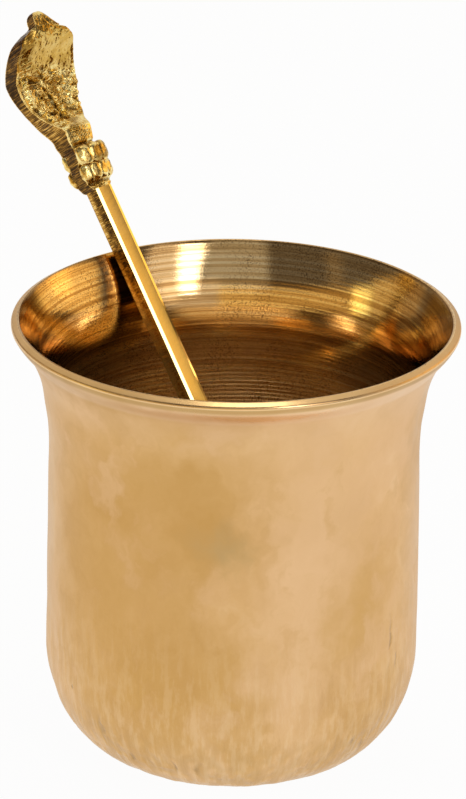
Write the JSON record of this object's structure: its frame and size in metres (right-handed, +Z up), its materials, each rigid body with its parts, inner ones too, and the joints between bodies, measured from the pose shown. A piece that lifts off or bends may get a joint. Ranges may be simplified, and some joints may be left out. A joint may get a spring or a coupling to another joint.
{
  "type": "offering tumbler with spoon",
  "caption": "Flared brass offering tumbler with a rolled lip and rounded foot, holding a long-handled water spoon with a cobra-hood finial that lifts out.",
  "frame": {"origin": "centre of the flat foot the tumbler stands on", "axes": "+Z up along the tumbler's axis; the spoon leans toward +Y, a little to the +X side of the axis"},
  "size_m": [0.076, 0.0962, 0.1166],
  "materials": {
    "tumbler_brass": "satin outside, polished and lathe-turned inside",
    "spoon_brass": "polished, filed on the sides",
    "finial_brass": "cast, chased and filed"
  },
  "bodies": {
    "tumbler": {"tumbler_wall": "tumbler_brass", "tumbler_base": "tumbler_brass"},
    "spoon": {"spoon_bowl": "spoon_brass", "spoon_shaft": "spoon_brass", "spoon_finial": "finial_brass"}
  },
  "joints": [
    {"name": "spoon_lift", "type": "slide", "parent": "tumbler", "child": "spoon", "axis": [0, 0, 1], "range_m": [0, 0.09]}
  ]
}
